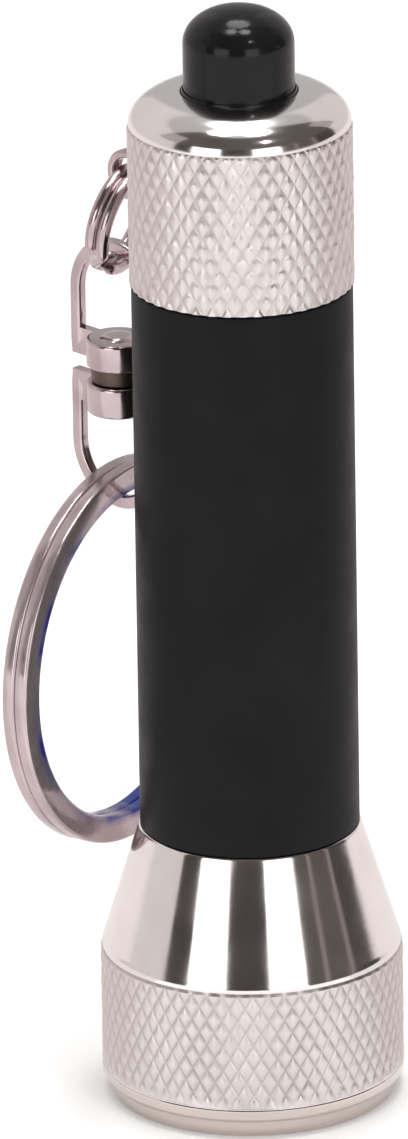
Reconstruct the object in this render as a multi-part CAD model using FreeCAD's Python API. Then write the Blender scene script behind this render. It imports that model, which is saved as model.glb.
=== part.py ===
"""Keychain flashlight, standing on its head, in millimetres.

The flashlight's axis is Z. The origin is the centre of the head's flat rim, which it stands on.
The key chain hangs on the -X side of the tail cap.
"""

import FreeCAD, Part
import math
import os

V = FreeCAD.Vector
ORIGIN = V(0, 0, 0)
Z_AXIS = V(0, 0, 1)

# barrel, and the battery that sets its size
BATTERY_R = 5.25
BATTERY_CAN_LENGTH = 43.5
BATTERY_NUB_LENGTH = 0.9
BATTERY_NUB_R = 2.6
BATTERY_NUB_DEPTH = 0.55
JACKET = 0.12
JACKET_MARGIN = 0.2
BARREL_R = 7.25
BARREL_BORE_R = 5.65
BARREL_BOTTOM = 18.85
BARREL_TOP = 56.4
NECK_ROOT_R = 6.35
NECK_LENGTH = 3.9

# screw threads and their seals
THREAD_R = 6.65
THREAD_BORE_R = 6.7
THREAD_PITCH = 0.75
THREAD_RIDGES = 3
THREAD_ROOT_HALF = 0.28
THREAD_CREST_HALF = 0.08
O_RING_WIRE_R = 0.33
O_RING_SEAT = 0.7
SEAT_GAP = 0.45
SEAM = 0.05

SPRING_WIRE_R = 0.25

# head
RIM_R = 10.0
LAND_BOTTOM = 1.45
FOOT_TOP = 1.2
FOOT_TOP_R = 9.75
FOOT_ROUND_TOP = 0.35
FOOT_ROUND_TOP_R = 9.48
FOOT_R = 9.12
KNURL_TOP = 10.15
CONE_BOTTOM = 10.7
CONE_BOTTOM_R = 9.85
CONE_TOP = 18.8
CONE_TOP_R = 7.3
HEAD_BORE_R = 8.15
HEAD_SHOULDER = 9.0
FIT = 0.03
OVERCUT = 1.0
SPANNER_SLOT = 1.0
SPANNER_SLOT_DEPTH = 0.5

# lamp
RETAINER_BOTTOM = 0.5
RETAINER_BORE_R = 7.2
GASKET_BORE_R = 7.3
LENS_BOTTOM = 1.7
LENS_THICKNESS = 1.2
GASKET_THICKNESS = 0.5
REFLECTOR_MOUTH_R = 7.1
REFLECTOR_FOCUS = 1.6
REFLECTOR_HOLE_R = 2.62
REFLECTOR_BACK_R = 4.4
REFLECTOR_WAIST_R = 6.42
REFLECTOR_WAIST = 7.4
REFLECTOR_FLANGE_TOP = 8.2
LED_R = 2.5
LED_FLANGE_R = 2.9
LED_FLANGE = 1.0
LED_LENGTH = 8.6
LED_BASE = 12.2
LEAD_PITCH = 2.54
LEAD_WIDTH = 0.5
LEAD_TAIL = 0.3
LEAD_HOLE_R = 0.45
HOLDER_BOTTOM = 10.9
HOLDER_FLOOR_TOP = 11.7
HOLDER_HOLE_R = 3.0
HOLDER_LIP = 0.6
BOARD_BOTTOM = 12.8
BOARD_THICKNESS = 0.8
BOARD_R = 6.0
INDUCTOR_R = 1.3
INDUCTOR_WAIST_R = 0.9
INDUCTOR_HEIGHT = 1.2
INDUCTOR_FLANGE = 0.3
INDUCTOR_Y = 3.9
CHIP_X = (-1.45, 1.45)
CHIP_Y = (-4.7, -3.1)
CHIP_HEIGHT = 1.1
CAPACITOR_X = (-4.6, -3.4)
CAPACITOR_Y = (-2.5, -0.5)
CAPACITOR_HEIGHT = 0.8
CONTACT_R = 0.75
CONTACT_BORE_R = 0.2
CONTACT_TIP = 0.45

# tail cap
CAP_R = 7.38
CAP_BOTTOM = 56.45
CAP_KNURL_TOP = 67.45
CAP_EDGE_TOP = 67.6
CAP_EDGE_R = 7.3
CAP_TOP = 69.65
CAP_TOP_R = 4.4
CAP_SHOULDER = (6.45, 69.0)
CAP_CAVITY_R = 6.5
CAP_CAVITY_BOTTOM = 60.6
CAP_ROOF = 67.9
CAP_HOLE_R = 3.95

# push button
BUTTON_R = 3.66
BUTTON_TOP = 75.35
BUTTON_TRAVEL = 1.2
BUTTON_WALL = 0.8
BUTTON_SIDE_TOP = 72.95
BUTTON_SHOULDER = (3.3, 73.98)
BUTTON_CROWN_R = 2.3
BUTTON_CROWN_EDGE = 74.82
BUTTON_ROOF = 1.3
BOOT_GAP = 0.05
BOOT_SKIRT_GAP = 0.2
COLLAR_TOP = 69.85
COLLAR_FLANGE_R = 6.4
SWITCH_BOTTOM = 63.0
SWITCH_TOP = 67.0
SWITCH_R = 6.1
SWITCH_RING_BORE_R = 5.75
SWITCH_RING_BOTTOM = 61.4
STRIP_X = (3.4, 4.0)
STRIP_HALF_WIDTH = 1.4
STRIP_HEIGHT = 1.5
STRIP_FOOT = 5.4
STRIP_DROP = 0.3
STRIP_GAP = 0.1
FACE_GAP = 0.02
PLUNGER_R = 1.8
PLUNGER_FLANGE = (65.4, 66.1)
PLUNGER_FLANGE_R = 2.6
PLUNGER_PAD = 1.5
PLUNGER_CLEARANCE = 0.08
WELL_FLOOR = 63.6
WELL_TOP = 66.2
WELL_R = 2.75

# key chain
CHAIN_X = -11.6
SMALL_RING_R = 3.35
SMALL_WIRE_R = 0.45
STRAND_OFFSET = 0.42
SMALL_RING_TILT = 12.0
SMALL_RING_TURN = 15.0
SMALL_RING_BOTTOM = 54.95
YOKE_HALF_WIDTH = 4.1
YOKE_BAR = 0.9
YOKE_STRAP = 0.75
UPPER_APEX = 56.6
LOWER_APEX = 37.9
DRUM_R = 2.1
UPPER_DRUM = (47.9, 49.8)
LOWER_DRUM = (44.7, 46.8)
RIVET_R = 0.7
RIVET_HEAD_R = 1.2
RIVET_HEAD = 0.3
RIVET_CLEARANCE = 0.05
WASHER_R = 1.9
KEY_RING_R = 13.05
KEY_RING_INNER_R = 11.2
KEY_RING_WIDTH = 1.9
KEY_RING_GROOVE = 0.3
KEY_RING_CHAMFER = 0.3
KEY_RING_CENTRE = 27.91
KEY_RING_TURN = 11.3
LUG_X = CHAIN_X + 2 * SMALL_RING_R * math.sin(math.radians(SMALL_RING_TILT))
LUG_Z = SMALL_RING_BOTTOM + 2 * SMALL_RING_R * math.cos(math.radians(SMALL_RING_TILT))
LUG_HOLE_R = 1.13
LUG_R = 1.7
LUG_THICKNESS = 1.0
LUG_STEM_R = 0.75
LUG_STEM_START = -9.2
LUG_STEM_END = -6.6
LUG_STEM_HOLE_START = -8.0
LUG_STEM_HOLE_END = -5.0

# heights that follow from the sizes above
BOARD_TOP = BOARD_BOTTOM + BOARD_THICKNESS
BATTERY_NUB_TIP = BARREL_BOTTOM - NECK_LENGTH + BATTERY_NUB_DEPTH
BATTERY_BOTTOM = BATTERY_NUB_TIP + BATTERY_NUB_LENGTH
BATTERY_TOP = BATTERY_BOTTOM + BATTERY_CAN_LENGTH


def turned(points):
    """A solid of revolution about Z from its closed half outline, given as (radius, height)."""
    outline = [V(r, 0, z) for r, z in points]
    face = Part.Face(Part.makePolygon(outline + outline[:1]))
    return face.revolve(ORIGIN, Z_AXIS, 360)


def turned_wire(edges):
    """A solid of revolution about Z from the edges of its closed half outline."""
    face = Part.Face(Part.Wire(edges))
    return face.revolve(ORIGIN, Z_AXIS, 360)


def line(r1, z1, r2, z2):
    return Part.LineSegment(V(r1, 0, z1), V(r2, 0, z2)).toShape()


def arc(r1, z1, r2, z2, r3, z3):
    """An arc from the first point through the second to the third."""
    return Part.Arc(V(r1, 0, z1), V(r2, 0, z2), V(r3, 0, z3)).toShape()


def rod(r, bottom, top, x=0.0, y=0.0):
    return Part.makeCylinder(r, top - bottom, V(x, y, bottom))


def tube(outer, inner, bottom, top, x=0.0, y=0.0):
    bore = rod(inner, bottom - OVERCUT, top + OVERCUT, x, y)
    return rod(outer, bottom, top, x, y).cut(bore)


def block(x1, x2, y1, y2, z1, z2):
    return Part.makeBox(x2 - x1, y2 - y1, z2 - z1, V(x1, y1, z1))


def conical_spring(bottom, top, turns, small_r, angle):
    """A coil of round wire that widens upwards, between the heights of its first and last turn."""
    path = Part.makeHelix((top - bottom) / turns, top - bottom, small_r, angle)
    path.translate(V(0, 0, bottom))
    circle = Part.Circle(V(small_r, 0, bottom), V(0, 1, 0), SPRING_WIRE_R)
    profile = Part.Wire([circle.toShape()])
    return Part.Wire(path.Edges).makePipeShell([profile], True, True)


# ---------------------------------------------------------------- head and lamp
def head_shell():
    """One turned aluminium piece: tapered foot, knurled band and cone."""
    mid_r = FOOT_R + 0.75 * (FOOT_ROUND_TOP_R - FOOT_R)
    mid_z = 0.25 * FOOT_ROUND_TOP
    edges = [
        line(HEAD_BORE_R, 0, FOOT_R, 0),
        arc(FOOT_R, 0, mid_r, mid_z, FOOT_ROUND_TOP_R, FOOT_ROUND_TOP),
        line(FOOT_ROUND_TOP_R, FOOT_ROUND_TOP, FOOT_TOP_R, FOOT_TOP),
        line(FOOT_TOP_R, FOOT_TOP, RIM_R, LAND_BOTTOM),
        line(RIM_R, LAND_BOTTOM, RIM_R, KNURL_TOP),
        line(RIM_R, KNURL_TOP, CONE_BOTTOM_R, CONE_BOTTOM),
        line(CONE_BOTTOM_R, CONE_BOTTOM, CONE_TOP_R, CONE_TOP),
        line(CONE_TOP_R, CONE_TOP, THREAD_BORE_R, CONE_TOP),
        line(THREAD_BORE_R, CONE_TOP, THREAD_BORE_R, HEAD_SHOULDER),
        line(THREAD_BORE_R, HEAD_SHOULDER, HEAD_BORE_R, HEAD_SHOULDER),
        line(HEAD_BORE_R, HEAD_SHOULDER, HEAD_BORE_R, 0),
    ]
    return turned_wire(edges)


def lens_retaining_ring():
    """The threaded ring that holds the lens in, with two slots for a spanner."""
    ring = tube(HEAD_BORE_R - FIT, RETAINER_BORE_R, RETAINER_BOTTOM, LENS_BOTTOM)
    half = SPANNER_SLOT / 2
    reach = HEAD_BORE_R + OVERCUT
    slot_top = RETAINER_BOTTOM + SPANNER_SLOT_DEPTH
    return ring.cut(block(-half, half, -reach, reach, RETAINER_BOTTOM - OVERCUT, slot_top))


def front_lens():
    return rod(HEAD_BORE_R - FIT, LENS_BOTTOM, LENS_BOTTOM + LENS_THICKNESS)


def lens_gasket():
    bottom = LENS_BOTTOM + LENS_THICKNESS
    return tube(HEAD_BORE_R - FIT, GASKET_BORE_R, bottom, bottom + GASKET_THICKNESS)


def reflector():
    """A parabolic cup with a flange that rests on the head's inner shoulder."""
    mouth = LENS_BOTTOM + LENS_THICKNESS + GASKET_THICKNESS
    vertex = mouth + REFLECTOR_MOUTH_R**2 / (4 * REFLECTOR_FOCUS)
    steps = 10
    curve = []
    for i in range(steps + 1):
        r = REFLECTOR_MOUTH_R + (REFLECTOR_HOLE_R - REFLECTOR_MOUTH_R) * i / steps
        curve.append((r, vertex - r**2 / (4 * REFLECTOR_FOCUS)))
    back = curve[-1][1]
    outline = [(HEAD_BORE_R - FIT, mouth)] + curve
    outline += [(REFLECTOR_BACK_R, back), (REFLECTOR_WAIST_R, REFLECTOR_WAIST)]
    outline += [(REFLECTOR_WAIST_R, REFLECTOR_FLANGE_TOP)]
    outline += [(HEAD_BORE_R - FIT, REFLECTOR_FLANGE_TOP)]
    return turned(outline)


def led_holder():
    """The black plastic cup that centres the lamp and carries the circuit board."""
    outer = THREAD_BORE_R - FIT
    cup = tube(outer, BOARD_R + FIT, HOLDER_BOTTOM, BOARD_TOP + HOLDER_LIP)
    floor = tube(outer, HOLDER_HOLE_R, HOLDER_BOTTOM, HOLDER_FLOOR_TOP)
    return cup.fuse(floor).removeSplitter()


def led_emitter():
    """A 5 mm lamp: flanged base, straight body and domed nose pointing down."""
    flange = rod(LED_FLANGE_R, LED_BASE - LED_FLANGE, LED_BASE)
    nose = LED_BASE - LED_LENGTH + LED_R
    body = rod(LED_R, nose, LED_BASE)
    dome = Part.makeSphere(LED_R, V(0, 0, nose))
    return flange.fuse([body, dome]).removeSplitter()


def led_leads():
    half = LEAD_WIDTH / 2
    leads = []
    for side in (-1, 1):
        x = side * LEAD_PITCH / 2
        leads.append(block(x - half, x + half, -half, half, LED_BASE, BOARD_TOP + LEAD_TAIL))
    return Part.makeCompound(leads)


def driver_board():
    board = rod(BOARD_R, BOARD_BOTTOM, BOARD_TOP)
    for side in (-1, 1):
        x = side * LEAD_PITCH / 2
        hole = rod(LEAD_HOLE_R, BOARD_BOTTOM - OVERCUT, BOARD_TOP + OVERCUT, x)
        board = board.cut(hole)
    return board


def boost_inductor():
    """A drum core: a waist between two flanges."""
    top = BOARD_TOP + INDUCTOR_HEIGHT
    core = rod(INDUCTOR_R, BOARD_TOP, top, 0, INDUCTOR_Y)
    groove = tube(
        INDUCTOR_R + OVERCUT,
        INDUCTOR_WAIST_R,
        BOARD_TOP + INDUCTOR_FLANGE,
        top - INDUCTOR_FLANGE,
        0,
        INDUCTOR_Y,
    )
    return core.cut(groove)


def boost_chip():
    return block(*CHIP_X, *CHIP_Y, BOARD_TOP, BOARD_TOP + CHIP_HEIGHT)


def smoothing_capacitor():
    return block(*CAPACITOR_X, *CAPACITOR_Y, BOARD_TOP, BOARD_TOP + CAPACITOR_HEIGHT)


def front_contact():
    """A brass button on the board that meets the battery's nub."""
    top = BATTERY_NUB_TIP - SEAM
    sleeve = tube(CONTACT_R, CONTACT_BORE_R, BOARD_TOP, top)
    tip = rod(CONTACT_R, top - CONTACT_TIP, top)
    return sleeve.fuse(tip).removeSplitter()


# ---------------------------------------------------------------- barrel and battery
def neck_outline(shoulder, end):
    """A threaded neck's outline, from the barrel's shoulder out to the neck's end."""
    way = 1 if end > shoulder else -1
    seat_start = shoulder + way * SEAT_GAP
    seat_r = THREAD_BORE_R - 2 * FIT - 2 * O_RING_WIRE_R
    points = [(BARREL_R, shoulder), (NECK_ROOT_R, shoulder), (NECK_ROOT_R, seat_start)]
    points += [(seat_r, seat_start), (seat_r, seat_start + way * O_RING_SEAT)]
    points += [(NECK_ROOT_R, seat_start + way * O_RING_SEAT)]
    root = way * THREAD_ROOT_HALF
    crest = way * THREAD_CREST_HALF
    first = seat_start + way * (O_RING_SEAT + SEAT_GAP)
    for i in range(THREAD_RIDGES):
        middle = first + way * i * THREAD_PITCH
        points += [(NECK_ROOT_R, middle - root), (THREAD_R, middle - crest)]
        points += [(THREAD_R, middle + crest), (NECK_ROOT_R, middle + root)]
    return points + [(NECK_ROOT_R, end)]


def barrel_tube():
    front_end = BARREL_BOTTOM - NECK_LENGTH
    rear_end = BARREL_TOP + NECK_LENGTH
    rear = neck_outline(BARREL_TOP, rear_end)
    front = neck_outline(BARREL_BOTTOM, front_end)
    outline = rear + [(BARREL_BORE_R, rear_end), (BARREL_BORE_R, front_end)]
    return turned(outline + front[::-1])


def o_ring(shoulder, way):
    height = shoulder + way * (SEAT_GAP + O_RING_SEAT / 2)
    centre_r = THREAD_BORE_R - FIT - O_RING_WIRE_R
    return Part.makeTorus(centre_r, O_RING_WIRE_R, V(0, 0, height))


def battery_cell():
    return rod(BATTERY_R - JACKET, BATTERY_BOTTOM, BATTERY_TOP)


def battery_terminal():
    return rod(BATTERY_NUB_R, BATTERY_NUB_TIP, BATTERY_BOTTOM)


def battery_jacket():
    bottom = BATTERY_BOTTOM + JACKET_MARGIN
    return tube(BATTERY_R, BATTERY_R - JACKET, bottom, BATTERY_TOP - JACKET_MARGIN)


def tail_spring():
    """A conical spring between the battery and the switch, wide end up."""
    bottom = BATTERY_TOP + SPRING_WIRE_R + SEAM
    top = SWITCH_BOTTOM - SPRING_WIRE_R
    return conical_spring(bottom, top, turns=4, small_r=2.0, angle=12)


# ---------------------------------------------------------------- tail cap and switch
def tail_cap():
    """One turned aluminium piece: knurled skirt and rounded shoulder."""
    dome = arc(CAP_EDGE_R, CAP_EDGE_TOP, *CAP_SHOULDER, CAP_TOP_R, CAP_TOP)
    edges = [
        line(THREAD_BORE_R, CAP_BOTTOM, CAP_R, CAP_BOTTOM),
        line(CAP_R, CAP_BOTTOM, CAP_R, CAP_KNURL_TOP),
        line(CAP_R, CAP_KNURL_TOP, CAP_EDGE_R, CAP_EDGE_TOP),
        dome,
        line(CAP_TOP_R, CAP_TOP, CAP_HOLE_R, CAP_TOP),
        line(CAP_HOLE_R, CAP_TOP, CAP_HOLE_R, CAP_ROOF),
        line(CAP_HOLE_R, CAP_ROOF, CAP_CAVITY_R, CAP_ROOF),
        line(CAP_CAVITY_R, CAP_ROOF, CAP_CAVITY_R, CAP_CAVITY_BOTTOM),
        line(CAP_CAVITY_R, CAP_CAVITY_BOTTOM, THREAD_BORE_R, CAP_CAVITY_BOTTOM),
        line(THREAD_BORE_R, CAP_CAVITY_BOTTOM, THREAD_BORE_R, CAP_BOTTOM),
    ]
    stem_hole = stem(LUG_STEM_R + FIT, LUG_STEM_HOLE_START, LUG_STEM_HOLE_END)
    return turned_wire(edges).cut(stem_hole)


def stem(r, start, end):
    """A round bar along X at the lug's height."""
    return Part.makeCylinder(r, end - start, V(start, 0, LUG_Z), V(1, 0, 0))


def key_lug():
    """The eye that the small ring hangs in, with its stem fixed in the cap's wall."""
    half = LUG_THICKNESS / 2
    y_axis = V(0, 1, 0)
    disc = Part.makeCylinder(LUG_R, LUG_THICKNESS, V(LUG_X, -half, LUG_Z), y_axis)
    eye = disc.fuse(stem(LUG_STEM_R, LUG_STEM_START, LUG_STEM_END))
    deep = half + OVERCUT
    hole = Part.makeCylinder(LUG_HOLE_R, 2 * deep, V(LUG_X, -deep, LUG_Z), y_axis)
    return eye.cut(hole).removeSplitter()


def boot_collar():
    """The rubber bead round the button, with the flange clamped under the cap's roof."""
    bore = BUTTON_R + BOOT_GAP
    neck_r = CAP_HOLE_R - FIT
    edges = [
        line(bore, SWITCH_TOP, COLLAR_FLANGE_R, SWITCH_TOP),
        line(COLLAR_FLANGE_R, SWITCH_TOP, COLLAR_FLANGE_R, CAP_ROOF),
        line(COLLAR_FLANGE_R, CAP_ROOF, neck_r, CAP_ROOF),
        line(neck_r, CAP_ROOF, neck_r, CAP_TOP + BOOT_GAP),
        line(neck_r, CAP_TOP + BOOT_GAP, bore + BOOT_GAP, COLLAR_TOP),
        line(bore + BOOT_GAP, COLLAR_TOP, bore, COLLAR_TOP),
        line(bore, COLLAR_TOP, bore, SWITCH_TOP),
    ]
    return turned_wire(edges)


def button_boot():
    """The rubber button: a straight side, a rounded edge and a shallow crown."""
    bottom = SWITCH_TOP + BUTTON_TRAVEL + BOOT_SKIRT_GAP
    inner_r = BUTTON_R - BUTTON_WALL
    inner_top = BUTTON_TOP - BUTTON_ROOF
    rise = BUTTON_TOP - BUTTON_CROWN_EDGE
    sphere_r = (BUTTON_CROWN_R**2 + rise**2) / (2 * rise)
    half_angle = math.asin(BUTTON_CROWN_R / sphere_r) / 2
    mid_r = sphere_r * math.sin(half_angle)
    mid_z = BUTTON_TOP - sphere_r * (1 - math.cos(half_angle))
    edges = [
        line(inner_r, bottom, BUTTON_R, bottom),
        line(BUTTON_R, bottom, BUTTON_R, BUTTON_SIDE_TOP),
        arc(BUTTON_R, BUTTON_SIDE_TOP, *BUTTON_SHOULDER, BUTTON_CROWN_R, BUTTON_CROWN_EDGE),
        arc(BUTTON_CROWN_R, BUTTON_CROWN_EDGE, mid_r, mid_z, 0, BUTTON_TOP),
        line(0, BUTTON_TOP, 0, inner_top),
        line(0, inner_top, inner_r, inner_top),
        line(inner_r, inner_top, inner_r, bottom),
    ]
    return turned_wire(edges)


def switch_plunger():
    """The plastic plunger inside the button, with a flange that stops it in the housing."""
    top = BUTTON_TOP - BUTTON_ROOF
    stem = rod(PLUNGER_R, PLUNGER_FLANGE[0], top)
    pad = rod(BUTTON_R - BUTTON_WALL - BOOT_GAP, top - PLUNGER_PAD, top)
    flange = rod(PLUNGER_FLANGE_R, *PLUNGER_FLANGE)
    return stem.fuse([pad, flange]).removeSplitter()


def switch_housing():
    """A plastic can with a well for the plunger and its spring."""
    can = rod(SWITCH_R, SWITCH_BOTTOM, SWITCH_TOP)
    well = rod(WELL_R, WELL_FLOOR, WELL_TOP)
    neck = rod(PLUNGER_R + PLUNGER_CLEARANCE, WELL_FLOOR, SWITCH_TOP + OVERCUT)
    half = STRIP_HALF_WIDTH + STRIP_GAP
    slot_x = (STRIP_X[0] - STRIP_GAP, STRIP_X[1] + STRIP_GAP)
    slot_top = SWITCH_BOTTOM + STRIP_HEIGHT + STRIP_GAP
    slot = block(*slot_x, -half, half, SWITCH_BOTTOM - OVERCUT, slot_top)
    return can.cut(well.fuse([neck, slot]))


def switch_contact():
    """The brass strip that carries current from the switch to the cap."""
    width = (-STRIP_HALF_WIDTH, STRIP_HALF_WIDTH)
    bottom = SWITCH_BOTTOM - STRIP_DROP
    blade = block(*STRIP_X, *width, bottom, SWITCH_BOTTOM + STRIP_HEIGHT)
    foot = block(STRIP_X[0], STRIP_FOOT, *width, bottom, SWITCH_BOTTOM - FACE_GAP)
    return blade.fuse(foot).removeSplitter()


def switch_retaining_ring():
    """The brass ring screwed into the cap under the switch, with a spanner slot."""
    outer = CAP_CAVITY_R - FIT
    ring = tube(outer, SWITCH_RING_BORE_R, SWITCH_RING_BOTTOM, SWITCH_BOTTOM - FACE_GAP)
    half = SPANNER_SLOT / 2
    reach = outer + OVERCUT
    slot_top = SWITCH_RING_BOTTOM + SPANNER_SLOT_DEPTH
    slot = block(-half, half, -reach, reach, SWITCH_RING_BOTTOM - OVERCUT, slot_top)
    return ring.cut(slot)


def plunger_spring():
    """The switch's return spring: two coils that nest flat in each other, wide end up."""
    bottom = WELL_FLOOR + SPRING_WIRE_R
    top = PLUNGER_FLANGE[0] - SPRING_WIRE_R - SEAM
    return conical_spring(bottom, top, turns=2, small_r=1.45, angle=38)


# ---------------------------------------------------------------- key chain
def small_split_ring():
    """Two strands of round wire side by side, hanging from the lug."""
    strands = []
    for side in (-1, 1):
        strands.append(
            Part.makeTorus(SMALL_RING_R, SMALL_WIRE_R, V(side * STRAND_OFFSET, 0, 0), V(1, 0, 0))
        )
    ring = strands[0].fuse(strands[1])
    ring.rotate(ORIGIN, Z_AXIS, SMALL_RING_TURN)
    ring.translate(V(LUG_X, 0, LUG_Z - SMALL_RING_R))
    ring.rotate(V(LUG_X, 0, LUG_Z), V(0, 1, 0), SMALL_RING_TILT)
    return ring


def stirrup(apex, base, way):
    """A flat strap bent to an arch, way +1 with the arch on top, -1 with it below."""
    def arch(half_width, end):
        centre = end - way * half_width
        half_strap = YOKE_STRAP / 2
        top = Part.makeCylinder(
            half_width, YOKE_STRAP, V(CHAIN_X, -half_strap, centre), V(0, 1, 0)
        )
        low, high = sorted((base, centre))
        legs = block(
            CHAIN_X - half_width, CHAIN_X + half_width, -half_strap, half_strap, low, high
        )
        return top.fuse(legs)

    inner = arch(YOKE_HALF_WIDTH - YOKE_BAR, apex - way * YOKE_BAR)
    return arch(YOKE_HALF_WIDTH, apex).cut(inner)


def yoke(apex, drum, way):
    """A stirrup with a round drum across its open end, bored for the rivet."""
    base = drum[0] if way > 0 else drum[1]
    half_strap = YOKE_STRAP / 2
    bar = block(
        CHAIN_X - YOKE_HALF_WIDTH, CHAIN_X + YOKE_HALF_WIDTH, -half_strap, half_strap, *drum
    )
    body = stirrup(apex, base, way).fuse([bar, rod(DRUM_R, drum[0], drum[1], CHAIN_X)])
    return body.removeSplitter()


def upper_yoke():
    bore = rod(RIVET_R, UPPER_DRUM[0] - OVERCUT, UPPER_DRUM[1] + OVERCUT, CHAIN_X)
    return yoke(UPPER_APEX, UPPER_DRUM, 1).cut(bore)


def lower_yoke():
    bore_r = RIVET_R + RIVET_CLEARANCE
    bore = rod(bore_r, LOWER_DRUM[0] - OVERCUT, LOWER_DRUM[1] + OVERCUT, CHAIN_X)
    return yoke(LOWER_APEX, LOWER_DRUM, -1).cut(bore)


def swivel_rivet():
    low = LOWER_DRUM[0] - RIVET_CLEARANCE
    shank = rod(RIVET_R, low, UPPER_DRUM[1], CHAIN_X)
    bottom_head = rod(RIVET_HEAD_R, low - RIVET_HEAD, low, CHAIN_X)
    top_head = rod(RIVET_HEAD_R, UPPER_DRUM[1], UPPER_DRUM[1] + RIVET_HEAD, CHAIN_X)
    return shank.fuse([bottom_head, top_head]).removeSplitter()


def swivel_washer():
    bottom = LOWER_DRUM[1] + RIVET_CLEARANCE
    return tube(WASHER_R, RIVET_R, bottom, UPPER_DRUM[0], CHAIN_X)


def key_split_ring():
    """Two flat coils pressed together, with a seam groove inside and out."""
    half = KEY_RING_WIDTH / 2
    groove = KEY_RING_GROOVE
    soft = KEY_RING_CHAMFER
    outer = KEY_RING_R
    inner = KEY_RING_INNER_R
    outline = [
        (inner, -half + soft),
        (inner + soft, -half),
        (outer - soft, -half),
        (outer, -half + soft),
        (outer, -groove / 2),
        (outer - groove, 0),
        (outer, groove / 2),
        (outer, half - soft),
        (outer - soft, half),
        (inner + soft, half),
        (inner, half - soft),
        (inner, groove / 2),
        (inner + groove, 0),
        (inner, -groove / 2),
    ]
    ring = turned(outline)
    ring.rotate(ORIGIN, V(0, 1, 0), 90)
    ring.rotate(ORIGIN, Z_AXIS, KEY_RING_TURN)
    ring.translate(V(CHAIN_X, 0, KEY_RING_CENTRE))
    return ring


NODES = {
    "head_shell": head_shell,
    "lens_retaining_ring": lens_retaining_ring,
    "front_lens": front_lens,
    "lens_gasket": lens_gasket,
    "reflector": reflector,
    "led_holder": led_holder,
    "led_emitter": led_emitter,
    "led_leads": led_leads,
    "driver_board": driver_board,
    "boost_inductor": boost_inductor,
    "boost_chip": boost_chip,
    "smoothing_capacitor": smoothing_capacitor,
    "front_contact": front_contact,
    "barrel_tube": barrel_tube,
    "front_o_ring": lambda: o_ring(BARREL_BOTTOM, -1),
    "rear_o_ring": lambda: o_ring(BARREL_TOP, 1),
    "battery_cell": battery_cell,
    "battery_terminal": battery_terminal,
    "battery_jacket": battery_jacket,
    "tail_spring": tail_spring,
    "tail_cap": tail_cap,
    "key_lug": key_lug,
    "boot_collar": boot_collar,
    "button_boot": button_boot,
    "switch_plunger": switch_plunger,
    "switch_housing": switch_housing,
    "switch_contact": switch_contact,
    "switch_retaining_ring": switch_retaining_ring,
    "plunger_spring": plunger_spring,
    "small_split_ring": small_split_ring,
    "upper_yoke": upper_yoke,
    "swivel_rivet": swivel_rivet,
    "swivel_washer": swivel_washer,
    "lower_yoke": lower_yoke,
    "key_split_ring": key_split_ring,
}


os.makedirs("parts", exist_ok=True)
for node, make in NODES.items():
    shape = make()
    if shape.ShapeType == "Compound" and len(shape.Solids) == 1:
        shape = shape.Solids[0]
    shape.exportStep(f"parts/{node}.step")
    print(f"{node}: {len(shape.Solids)} solid, {shape.Volume:.2f} mm3, valid {shape.isValid()}")
print(f"lug axis at x {LUG_X:.3f}, z {LUG_Z:.3f}")
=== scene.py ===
"""A keychain flashlight standing on its head, its key chain hanging on the -X side.

Lengths are millimetres until a mesh is made, where MM turns them into metres.
"""

import math

import bmesh
import bpy
from mathutils import Matrix, Quaternion, Vector, noise


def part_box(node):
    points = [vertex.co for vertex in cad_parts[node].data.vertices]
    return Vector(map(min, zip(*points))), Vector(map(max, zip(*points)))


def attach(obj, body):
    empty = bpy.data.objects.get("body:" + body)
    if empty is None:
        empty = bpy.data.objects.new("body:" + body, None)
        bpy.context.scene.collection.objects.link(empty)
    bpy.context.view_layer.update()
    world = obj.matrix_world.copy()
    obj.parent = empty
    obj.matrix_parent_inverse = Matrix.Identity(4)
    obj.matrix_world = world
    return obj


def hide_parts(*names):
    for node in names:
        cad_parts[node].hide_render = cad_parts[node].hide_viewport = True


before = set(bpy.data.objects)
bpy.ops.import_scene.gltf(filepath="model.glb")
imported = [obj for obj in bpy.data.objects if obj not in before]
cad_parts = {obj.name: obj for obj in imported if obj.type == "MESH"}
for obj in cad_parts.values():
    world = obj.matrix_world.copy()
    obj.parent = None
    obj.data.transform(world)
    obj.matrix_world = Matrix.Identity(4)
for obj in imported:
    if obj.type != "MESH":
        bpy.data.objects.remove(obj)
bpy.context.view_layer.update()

MM = 0.001
TAU = 2 * math.pi


def box_mm(node):
    low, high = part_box(node)
    return low / MM, high / MM


# ------------------------------------------------------------------ sizes, from the CAD frame
HEAD_LOW, HEAD_HIGH = box_mm("head_shell")
CAP_LOW, CAP_HIGH = box_mm("tail_cap")
BARREL_LOW, BARREL_HIGH = box_mm("barrel_tube")
BUTTON_LOW, BUTTON_HIGH = box_mm("button_boot")
COLLAR_LOW, COLLAR_HIGH = box_mm("boot_collar")
LUG_LOW, LUG_HIGH = box_mm("key_lug")
UPPER_LOW, UPPER_HIGH = box_mm("upper_yoke")
LOWER_LOW, LOWER_HIGH = box_mm("lower_yoke")
RIVET_LOW, RIVET_HIGH = box_mm("swivel_rivet")
WASHER_LOW, WASHER_HIGH = box_mm("swivel_washer")
KEY_LOW, KEY_HIGH = box_mm("key_split_ring")
O_RINGS = {n: box_mm(n) for n in ("front_o_ring", "rear_o_ring")}

RIM_R = HEAD_HIGH.x
CAP_R = CAP_HIGH.x
BARREL_R = BARREL_HIGH.x
BUTTON_R = BUTTON_HIGH.x
CHAIN_X = (UPPER_LOW.x + UPPER_HIGH.x) / 2

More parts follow.
